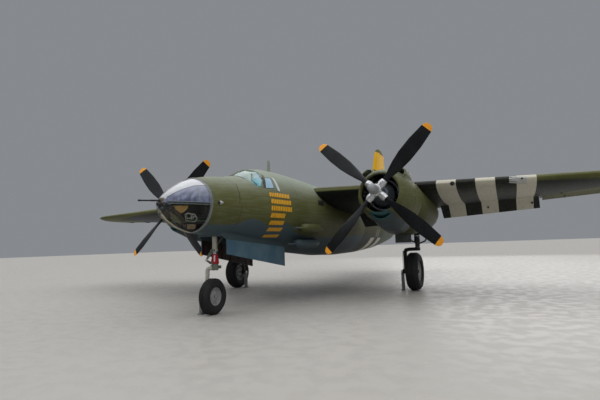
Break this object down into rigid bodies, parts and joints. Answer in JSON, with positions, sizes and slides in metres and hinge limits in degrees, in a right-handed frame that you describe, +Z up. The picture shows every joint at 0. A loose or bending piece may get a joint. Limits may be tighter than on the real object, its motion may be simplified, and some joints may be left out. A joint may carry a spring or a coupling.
{
  "type": "preserved twin-engined medium bomber",
  "caption": "Shoulder-winged twin-engined medium bomber on tricycle gear with museum axle stands, glazed nose, four-bladed propellers, hinged flaps and control surfaces.",
  "frame": {"origin": "on the floor, midway along the length and on the centre line", "axes": "+Z up, +X to the port wing tip, -Y towards the nose"},
  "size_m": [21.64, 17.76, 6.55],
  "materials": {
    "olive_skin": "matt olive paint over a blue-grey belly",
    "doped_fabric": "matt olive dope on fabric",
    "grey_door": "satin blue-grey paint",
    "glazing": "clear moulded sheet",
    "propeller_black": "satin black paint, yellow tips",
    "engine_iron": "dark dusty metal",
    "gear_black": "satin black paint",
    "gear_pale": "satin cream paint",
    "wheel_metal": "dull cast metal",
    "tyre_rubber": "matt rubber",
    "cabin_green": "matt interior green",
    "panel_black": "matt black paint",
    "stand_grey": "satin grey paint"
  },
  "bodies": {
    "airframe": {"forward_fuselage": "olive_skin", "nose_glazing": "glazing", "nose_gun": "panel_black", "centre_fuselage": "olive_skin", "rear_fuselage": "olive_skin", "nose_leg": "gear_pale", "fin": "olive_skin", "tail_position": "glazing", "flight_deck": "cabin_green", "instrument_panel": "panel_black", "nose_floor": "cabin_green", "stand_port": "stand_grey", "stand_starboard": "stand_grey", "stand_nose": "stand_grey", "windscreen_port": "glazing", "side_window_port": "glazing", "wing_port": "olive_skin", "nacelle_port": "olive_skin", "cowl_port": "olive_skin", "engine_port": "engine_iron", "main_leg_port": "gear_black", "main_fork_port": "gear_black", "gear_hoop_port": "gear_black", "gear_front_door_port": "gear_black", "tailplane_port": "olive_skin", "crew_seat_port": "cabin_green", "windscreen_starboard": "glazing", "side_window_starboard": "glazing", "wing_starboard": "olive_skin", "nacelle_starboard": "olive_skin", "cowl_starboard": "olive_skin", "engine_starboard": "engine_iron", "main_leg_starboard": "gear_black", "main_fork_starboard": "gear_black", "gear_hoop_starboard": "gear_black", "gear_front_door_starboard": "gear_black", "tailplane_starboard": "olive_skin", "crew_seat_starboard": "cabin_green"},
    "propeller_port": {"propeller_port": "propeller_black"},
    "propeller_starboard": {"propeller_starboard": "propeller_black"},
    "main_wheel_port": {"main_tyre_port": "tyre_rubber", "main_rim_port": "wheel_metal"},
    "main_wheel_starboard": {"main_tyre_starboard": "tyre_rubber", "main_rim_starboard": "wheel_metal"},
    "nose_fork": {"nose_fork": "gear_pale"},
    "nose_wheel": {"nose_tyre": "tyre_rubber", "nose_rim": "wheel_metal"},
    "flap_outer_port": {"flap_outer_port": "olive_skin"},
    "flap_outer_starboard": {"flap_outer_starboard": "olive_skin"},
    "flap_inner_port": {"flap_inner_port": "olive_skin"},
    "flap_inner_starboard": {"flap_inner_starboard": "olive_skin"},
    "aileron_port": {"aileron_port": "olive_skin"},
    "aileron_starboard": {"aileron_starboard": "olive_skin"},
    "elevator_port": {"elevator_port": "doped_fabric"},
    "elevator_starboard": {"elevator_starboard": "doped_fabric"},
    "rudder": {"rudder": "doped_fabric"},
    "dorsal_turret": {"dorsal_turret": "glazing"},
    "nose_door_port": {"nose_door_port": "grey_door"},
    "nose_door_starboard": {"nose_door_starboard": "grey_door"}
  },
  "joints": [
    {"name": "propeller_spin_port", "type": "hinge", "parent": "airframe", "child": "propeller_port", "pos_m": [3.421, -4.444, 2.839], "axis": [0, -0.9968, 0.0797], "continuous": true},
    {"name": "propeller_spin_starboard", "type": "hinge", "parent": "airframe", "child": "propeller_starboard", "pos_m": [-3.421, -4.444, 2.839], "axis": [0, -0.9968, 0.0797], "continuous": true},
    {"name": "main_wheel_spin_port", "type": "hinge", "parent": "airframe", "child": "main_wheel_port", "pos_m": [3.44, -0.79, 0.597], "axis": [1, 0, 0], "continuous": true},
    {"name": "main_wheel_spin_starboard", "type": "hinge", "parent": "airframe", "child": "main_wheel_starboard", "pos_m": [-3.44, -0.79, 0.597], "axis": [1, 0, 0], "continuous": true},
    {"name": "nose_steering", "type": "hinge", "parent": "airframe", "child": "nose_fork", "pos_m": [0, -6.54, 1.18], "axis": [0, 0, 1], "range_deg": [-30, 30]},
    {"name": "nose_wheel_spin", "type": "hinge", "parent": "nose_fork", "child": "nose_wheel", "pos_m": [0, -6.64, 0.4205], "axis": [1, 0, 0], "continuous": true},
    {"name": "flap_outer_hinge_port", "type": "hinge", "parent": "airframe", "child": "flap_outer_port", "pos_m": [5.68, -0.01804, 2.80169], "axis": [0.9993, -0.0336, 0.0185], "range_deg": [-11, 44]},
    {"name": "flap_outer_hinge_starboard", "type": "hinge", "parent": "airframe", "child": "flap_outer_starboard", "pos_m": [-5.68, -0.01804, 2.80169], "axis": [0.9993, 0.0336, -0.0185], "range_deg": [-11, 44]},
    {"name": "flap_inner_hinge_port", "type": "hinge", "parent": "airframe", "child": "flap_inner_port", "pos_m": [1.975, 0.10644, 2.73312], "axis": [0.9993, -0.0336, 0.0185], "range_deg": [-11, 44]},
    {"name": "flap_inner_hinge_starboard", "type": "hinge", "parent": "airframe", "child": "flap_inner_starboard", "pos_m": [-1.975, 0.10644, 2.73312], "axis": [0.9993, 0.0336, -0.0185], "range_deg": [-11, 44]},
    {"name": "aileron_hinge_port", "type": "hinge", "parent": "airframe", "child": "aileron_port", "pos_m": [8.685, -0.19795, 2.9026], "axis": [0.999, -0.0224, 0.0383], "range_deg": [-13, 27]},
    {"name": "aileron_hinge_starboard", "type": "hinge", "parent": "airframe", "child": "aileron_starboard", "pos_m": [-8.685, -0.19795, 2.9026], "axis": [0.999, 0.0224, -0.0383], "range_deg": [-27, 13]},
    {"name": "elevator_hinge_port", "type": "hinge", "parent": "airframe", "child": "elevator_port", "pos_m": [2.43, 7.26077, 3.34151], "axis": [0.9901, -0.0172, 0.1392], "range_deg": [-20, 30]},
    {"name": "elevator_hinge_starboard", "type": "hinge", "parent": "airframe", "child": "elevator_starboard", "pos_m": [-2.43, 7.26077, 3.34151], "axis": [0.9901, 0.0172, -0.1392], "range_deg": [-20, 30]},
    {"name": "rudder_hinge", "type": "hinge", "parent": "airframe", "child": "rudder", "pos_m": [0, 7.68, 4.875], "axis": [0, 0, 1], "range_deg": [-25, 25]},
    {"name": "turret_turn", "type": "hinge", "parent": "airframe", "child": "dorsal_turret", "pos_m": [0, 3.5, 3.48], "axis": [0, 0, 1], "continuous": true},
    {"name": "nose_door_hinge_port", "type": "hinge", "parent": "airframe", "child": "nose_door_port", "pos_m": [0.445, -5.345, 1.6315], "axis": [0.0684, 0.9935, -0.0913], "range_deg": [0, 55]},
    {"name": "nose_door_hinge_starboard", "type": "hinge", "parent": "airframe", "child": "nose_door_starboard", "pos_m": [-0.445, -5.345, 1.6315], "axis": [0.0684, -0.9935, 0.0913], "range_deg": [0, 55]}
  ],
  "couplings": [
    {"joint": "flap_outer_hinge_starboard", "follows": "flap_outer_hinge_port", "ratio": 1},
    {"joint": "flap_inner_hinge_port", "follows": "flap_outer_hinge_port", "ratio": 1},
    {"joint": "flap_inner_hinge_starboard", "follows": "flap_outer_hinge_port", "ratio": 1},
    {"joint": "aileron_hinge_starboard", "follows": "aileron_hinge_port", "ratio": -1},
    {"joint": "elevator_hinge_starboard", "follows": "elevator_hinge_port", "ratio": 1},
    {"joint": "nose_door_hinge_starboard", "follows": "nose_door_hinge_port", "ratio": 1}
  ]
}
